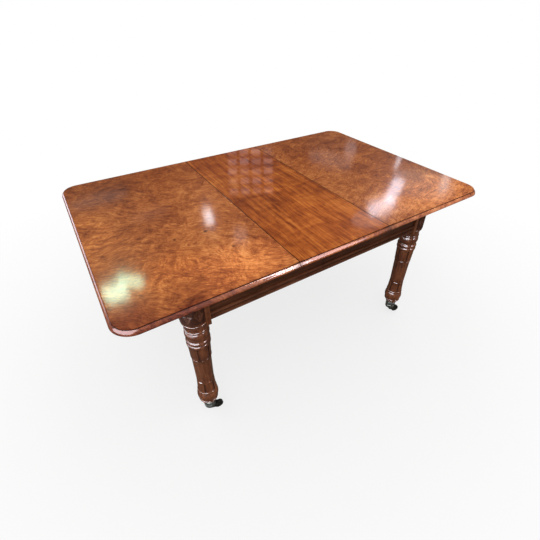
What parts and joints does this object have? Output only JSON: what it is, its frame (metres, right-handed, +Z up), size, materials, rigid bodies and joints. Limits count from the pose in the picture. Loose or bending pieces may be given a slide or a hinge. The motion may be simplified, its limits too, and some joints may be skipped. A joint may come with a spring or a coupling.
{
  "type": "extending dining table",
  "caption": "Extending dining table with a moulded top, a loose leaf, moulded rails and turned legs on castors; it draws out along its length.",
  "frame": {"origin": "on the floor under the middle of the table as it stands drawn out with its leaf in", "axes": "+X along the length, from the half with the crank to the half that draws out; +Y across, from the pictured side to the back; +Z up"},
  "size_m": [1.558, 1, 0.73],
  "materials": {
    "top_wood": "figured mahogany, French polished to a high gloss",
    "leaf_wood": "straight-grained mahogany, polished to a high gloss",
    "rail_wood": "dark polished mahogany",
    "leg_wood": "dark red-brown polished turned mahogany",
    "frame_wood": "plain unpolished hardwood",
    "castor_brass": "dark tarnished brass",
    "plate_brass": "dull brass",
    "wheel_iron": "dark worn",
    "screw_steel": "oiled"
  },
  "bodies": {
    "left_half": {"top_left": "top_wood", "end_rail_left": "rail_wood", "cross_rail_left": "frame_wood", "rail_left_front": "rail_wood", "strip_left_front": "rail_wood", "end_strip_left_front": "rail_wood", "leg_left_front": "leg_wood", "slide_left_front": "frame_wood", "cup_left_front": "castor_brass", "rail_left_back": "rail_wood", "strip_left_back": "rail_wood", "end_strip_left_back": "rail_wood", "leg_left_back": "leg_wood", "slide_left_back": "frame_wood", "cup_left_back": "castor_brass", "crank_plate": "plate_brass"},
    "right_half": {"top_right": "top_wood", "end_rail_right": "rail_wood", "cross_rail_right": "frame_wood", "rail_right_front": "rail_wood", "strip_right_front": "rail_wood", "end_strip_right_front": "rail_wood", "leg_right_front": "leg_wood", "slide_right_front": "frame_wood", "cup_right_front": "castor_brass", "rail_right_back": "rail_wood", "strip_right_back": "rail_wood", "end_strip_right_back": "rail_wood", "leg_right_back": "leg_wood", "slide_right_back": "frame_wood", "cup_right_back": "castor_brass", "nut_rail": "frame_wood", "screw_nut": "plate_brass"},
    "leaf": {"leaf_board": "leaf_wood", "rail_leaf_front": "rail_wood", "rail_leaf_back": "rail_wood", "dowel_left_front": "frame_wood", "dowel_left_back": "frame_wood", "dowel_right_front": "frame_wood", "dowel_right_back": "frame_wood"},
    "screw": {"winding_screw": "screw_steel"},
    "castor_left_front": {"horn_left_front": "castor_brass", "axle_left_front": "screw_steel"},
    "wheel_body_left_front": {"wheel_left_front": "wheel_iron"},
    "castor_left_back": {"horn_left_back": "castor_brass", "axle_left_back": "screw_steel"},
    "wheel_body_left_back": {"wheel_left_back": "wheel_iron"},
    "castor_right_front": {"horn_right_front": "castor_brass", "axle_right_front": "screw_steel"},
    "wheel_body_right_front": {"wheel_right_front": "wheel_iron"},
    "castor_right_back": {"horn_right_back": "castor_brass", "axle_right_back": "screw_steel"},
    "wheel_body_right_back": {"wheel_right_back": "wheel_iron"}
  },
  "joints": [
    {"name": "extension", "type": "slide", "parent": "left_half", "child": "right_half", "axis": [1, 0, 0], "range_m": [-0.4057, 0]},
    {"name": "leaf_lift", "type": "slide", "parent": "left_half", "child": "leaf", "axis": [0, 0, 1], "range_m": [0, 1.2171]},
    {"name": "screw_turn", "type": "hinge", "parent": "left_half", "child": "screw", "pos_m": [-0.57, 0, 0.665], "axis": [1, 0, 0], "range_deg": [0, 9130]},
    {"name": "swivel_left_front", "type": "hinge", "parent": "left_half", "child": "castor_left_front", "pos_m": [-0.534, -0.3685, 0.045], "axis": [0, 0, 1], "continuous": true},
    {"name": "roll_left_front", "type": "hinge", "parent": "castor_left_front", "child": "wheel_body_left_front", "pos_m": [-0.49909, -0.37094, 0.019], "axis": [0.0698, 0.9976, 0], "continuous": true},
    {"name": "swivel_left_back", "type": "hinge", "parent": "left_half", "child": "castor_left_back", "pos_m": [-0.534, 0.3685, 0.045], "axis": [0, 0, 1], "continuous": true},
    {"name": "roll_left_back", "type": "hinge", "parent": "castor_left_back", "child": "wheel_body_left_back", "pos_m": [-0.50203, 0.38274, 0.019], "axis": [-0.4067, 0.9135, 0], "continuous": true},
    {"name": "swivel_right_front", "type": "hinge", "parent": "right_half", "child": "castor_right_front", "pos_m": [0.534, -0.3685, 0.045], "axis": [0, 0, 1], "continuous": true},
    {"name": "roll_right_front", "type": "hinge", "parent": "castor_right_front", "child": "wheel_body_right_front", "pos_m": [0.56729, -0.37932, 0.019], "axis": [0.309, 0.9511, 0], "continuous": true},
    {"name": "swivel_right_back", "type": "hinge", "parent": "right_half", "child": "castor_right_back", "pos_m": [0.534, 0.3685, 0.045], "axis": [0, 0, 1], "continuous": true},
    {"name": "roll_right_back", "type": "hinge", "parent": "castor_right_back", "child": "wheel_body_right_back", "pos_m": [0.56874, 0.37277, 0.019], "axis": [-0.1219, 0.9925, 0], "continuous": true}
  ],
  "couplings": [
    {"joint": "leaf_lift", "follows": "extension", "ratio": -3},
    {"joint": "screw_turn", "follows": "extension", "rad_per_m": -392.7}
  ]
}
